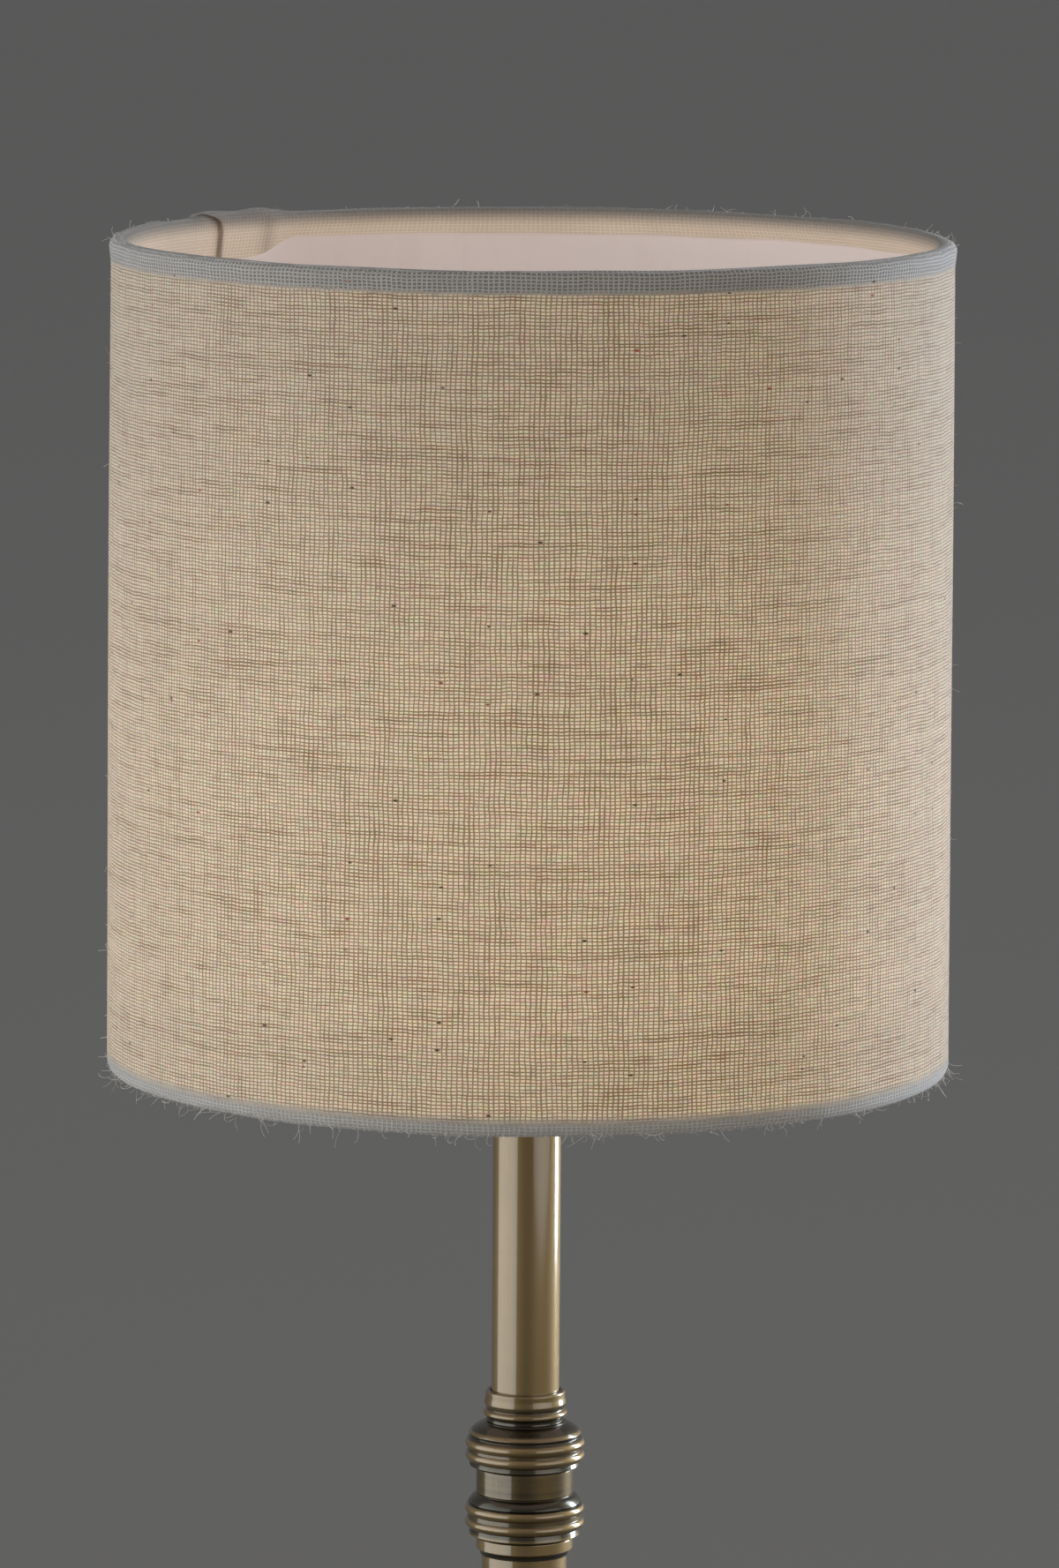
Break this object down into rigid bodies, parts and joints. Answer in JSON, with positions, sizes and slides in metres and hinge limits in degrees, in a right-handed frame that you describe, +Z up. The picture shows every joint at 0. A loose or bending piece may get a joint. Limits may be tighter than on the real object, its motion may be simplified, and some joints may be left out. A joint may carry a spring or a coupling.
{
  "type": "cordless table lamp",
  "caption": "Rechargeable table lamp: woven drum shade over a diffused light module, on a turned brass column and a round stepped base with push switch and charging socket.",
  "frame": {"origin": "middle of the foot pad's underside, on the lamp's axis", "axes": "+Z up along the lamp's axis, -Y to the front, where the push button is, +Y to the charging socket"},
  "size_m": [0.1966, 0.1966, 0.4221],
  "materials": {
    "antique_brass": "antiqued brass, dark patina in the grooves, fine turning lines, satin lacquer",
    "plain_steel": "zinc-plated steel, dull",
    "cast_iron": "cast iron, painted dark grey",
    "nickel": "nickel-plated steel, satin",
    "black_plastic": "moulded black plastic, fine texture",
    "grey_plastic": "moulded grey plastic",
    "felt": "dark felt",
    "cell_sleeve": "plain shrink sleeve",
    "board_green": "circuit board with solder mask",
    "board_white": "aluminium LED board with white solder mask",
    "opal_plastic": "opal plastic, lit from inside",
    "natural_linen": "open natural linen-look weave, lit from inside",
    "shade_liner": "translucent white plastic sheet",
    "white_metal": "white powder-coated steel wire",
    "aluminium_sink": "machined aluminium",
    "red_lead": "red insulated wire",
    "white_lead": "white insulated cable",
    "black_lead": "black insulated wire"
  },
  "bodies": {
    "root": {"foot_pad": "felt", "base_plate": "plain_steel", "plate_screw_1": "plain_steel", "plate_screw_2": "plain_steel", "plate_screw_3": "plain_steel", "plate_screw_4": "plain_steel", "base_shell": "antique_brass", "ballast_weight": "cast_iron", "battery_cell_left": "cell_sleeve", "battery_cell_right": "cell_sleeve", "contact_strip_front": "nickel", "contact_strip_rear": "nickel", "battery_tray": "grey_plastic", "control_board": "board_green", "board_screw_1": "plain_steel", "board_screw_2": "plain_steel", "usb_socket": "nickel", "port_bezel": "black_plastic", "charge_light": "opal_plastic", "button_ring": "antique_brass", "push_switch": "black_plastic", "switch_board": "board_green", "threaded_rod": "plain_steel", "rod_washer": "plain_steel", "rod_nut_lower": "plain_steel", "rod_nut_upper": "plain_steel", "foot_collar": "antique_brass", "foot_ferrule": "antique_brass", "lower_tube": "antique_brass", "upper_ferrule": "antique_brass", "lower_collar": "antique_brass", "barrel": "antique_brass", "upper_collar": "antique_brass", "tube_socket": "antique_brass", "upper_tube": "antique_brass", "head_cup": "antique_brass", "heat_sink": "aluminium_sink", "led_board": "board_white", "diffuser": "opal_plastic", "module_cable": "white_lead", "battery_lead_rear": "red_lead", "battery_lead_front": "black_lead", "switch_lead": "red_lead"},
    "seat": {"seat_washer": "black_plastic"},
    "shade": {"shade_fabric": "natural_linen", "shade_liner": "shade_liner", "bottom_wire": "white_metal", "top_wire": "white_metal", "carrier_ring": "white_metal", "carrier_arm_1": "white_metal", "carrier_arm_2": "white_metal", "carrier_arm_3": "white_metal"},
    "clamp_washer": {"clamp_washer": "grey_plastic"},
    "clamp_ring": {"clamp_ring": "black_plastic"},
    "button": {"power_button": "antique_brass", "switch_plunger": "grey_plastic"}
  },
  "joints": [
    {"name": "shade_turn", "type": "hinge", "parent": "root", "child": "seat", "pos_m": [0, 0, 0.2572], "axis": [0, 0, 1], "continuous": true},
    {"name": "shade_lift", "type": "slide", "parent": "seat", "child": "shade", "axis": [0, 0, 1], "range_m": [0, 0.11]},
    {"name": "clamp_rise", "type": "slide", "parent": "shade", "child": "clamp_washer", "axis": [0, 0, 1], "range_m": [0, 0.006]},
    {"name": "clamp_turn", "type": "hinge", "parent": "clamp_washer", "child": "clamp_ring", "pos_m": [0, 0, 0.2598], "axis": [0, 0, 1], "range_deg": [0, 1440]},
    {"name": "button_press", "type": "slide", "parent": "root", "child": "button", "axis": [0, 0, -1], "range_m": [0, 0.0012], "stiffness_N_per_m": 1200}
  ],
  "couplings": [
    {"joint": "clamp_rise", "follows": "clamp_turn", "m_per_rad": 0.0002387}
  ]
}
